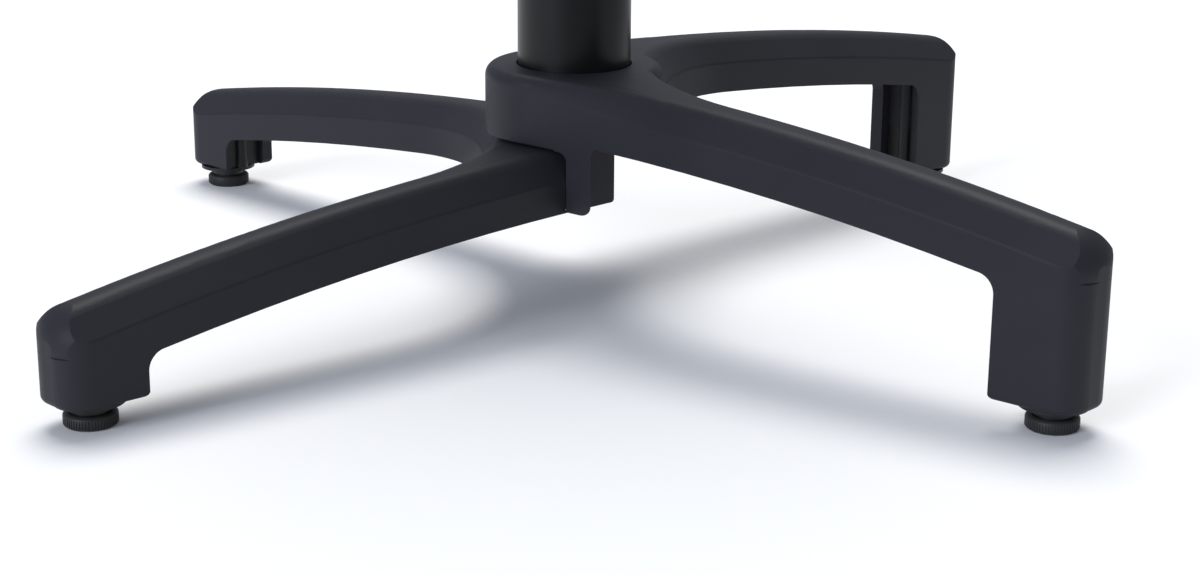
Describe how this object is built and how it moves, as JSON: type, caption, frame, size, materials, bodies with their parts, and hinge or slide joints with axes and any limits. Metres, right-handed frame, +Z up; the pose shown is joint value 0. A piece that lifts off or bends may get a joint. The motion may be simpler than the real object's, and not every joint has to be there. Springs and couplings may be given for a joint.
{
  "type": "folding table leg",
  "caption": "Black pedestal leg for a folding table: round column on stacked V-shaped cast legs, with self-adjusting feet and a top plate that tilts upright.",
  "frame": {"origin": "on the floor, on the column's axis", "axes": "+Z up along the column, -Y towards the viewer of the picture, +X to the legs of the upper casting"},
  "size_m": [0.6096, 0.6136, 0.716],
  "materials": {
    "leg_coat": "cast aluminium with a fine black powder coat, satin",
    "column_coat": "smooth black powder coat on steel tube",
    "head_coat": "black powder coat on sheet steel",
    "steel": "zinc-plated steel",
    "cartridge_plastic": "moulded black plastic",
    "pad_plastic": "moulded black plastic with a knurled edge",
    "bush_plastic": "plain natural plastic",
    "grip_plastic": "moulded black plastic",
    "rubber": "soft black rubber"
  },
  "bodies": {
    "base": {"upper_leg_casting": "leg_coat", "lower_leg_casting": "leg_coat", "column_tube": "column_coat", "head_bracket": "head_coat", "column_plug": "steel", "tie_washer": "steel", "tie_bolt": "steel", "pivot_bolt": "steel", "rest_buffers": "rubber", "front_left_cartridge": "cartridge_plastic", "front_left_cartridge_cap": "cartridge_plastic", "front_left_wiper_seal": "rubber", "front_right_cartridge": "cartridge_plastic", "front_right_cartridge_cap": "cartridge_plastic", "front_right_wiper_seal": "rubber", "rear_left_cartridge": "cartridge_plastic", "rear_left_cartridge_cap": "cartridge_plastic", "rear_left_wiper_seal": "rubber", "rear_right_cartridge": "cartridge_plastic", "rear_right_cartridge_cap": "cartridge_plastic", "rear_right_wiper_seal": "rubber"},
    "front_left_foot": {"front_left_piston": "steel", "front_left_pad": "pad_plastic"},
    "front_right_foot": {"front_right_piston": "steel", "front_right_pad": "pad_plastic"},
    "rear_left_foot": {"rear_left_piston": "steel", "rear_left_pad": "pad_plastic"},
    "rear_right_foot": {"rear_right_piston": "steel", "rear_right_pad": "pad_plastic"},
    "head": {"tilt_plate": "head_coat", "pivot_bushes": "bush_plastic"},
    "knob": {"clamp_knob": "grip_plastic"}
  },
  "joints": [
    {"name": "front_left_adjust", "type": "slide", "parent": "base", "child": "front_left_foot", "axis": [0, 0, 1], "range_m": [-0.0065, 0.0045]},
    {"name": "front_right_adjust", "type": "slide", "parent": "base", "child": "front_right_foot", "axis": [0, 0, 1], "range_m": [-0.0065, 0.0045]},
    {"name": "rear_left_adjust", "type": "slide", "parent": "base", "child": "rear_left_foot", "axis": [0, 0, 1], "range_m": [-0.0065, 0.0045]},
    {"name": "rear_right_adjust", "type": "slide", "parent": "base", "child": "rear_right_foot", "axis": [0, 0, 1], "range_m": [-0.0065, 0.0045]},
    {"name": "top_fold", "type": "hinge", "parent": "base", "child": "head", "pos_m": [0, 0.042, 0.687], "axis": [-1, 0, 0], "range_deg": [0, 90]},
    {"name": "knob_turn", "type": "hinge", "parent": "base", "child": "knob", "pos_m": [0, 0.042, 0.687], "axis": [1, 0, 0], "continuous": true}
  ]
}
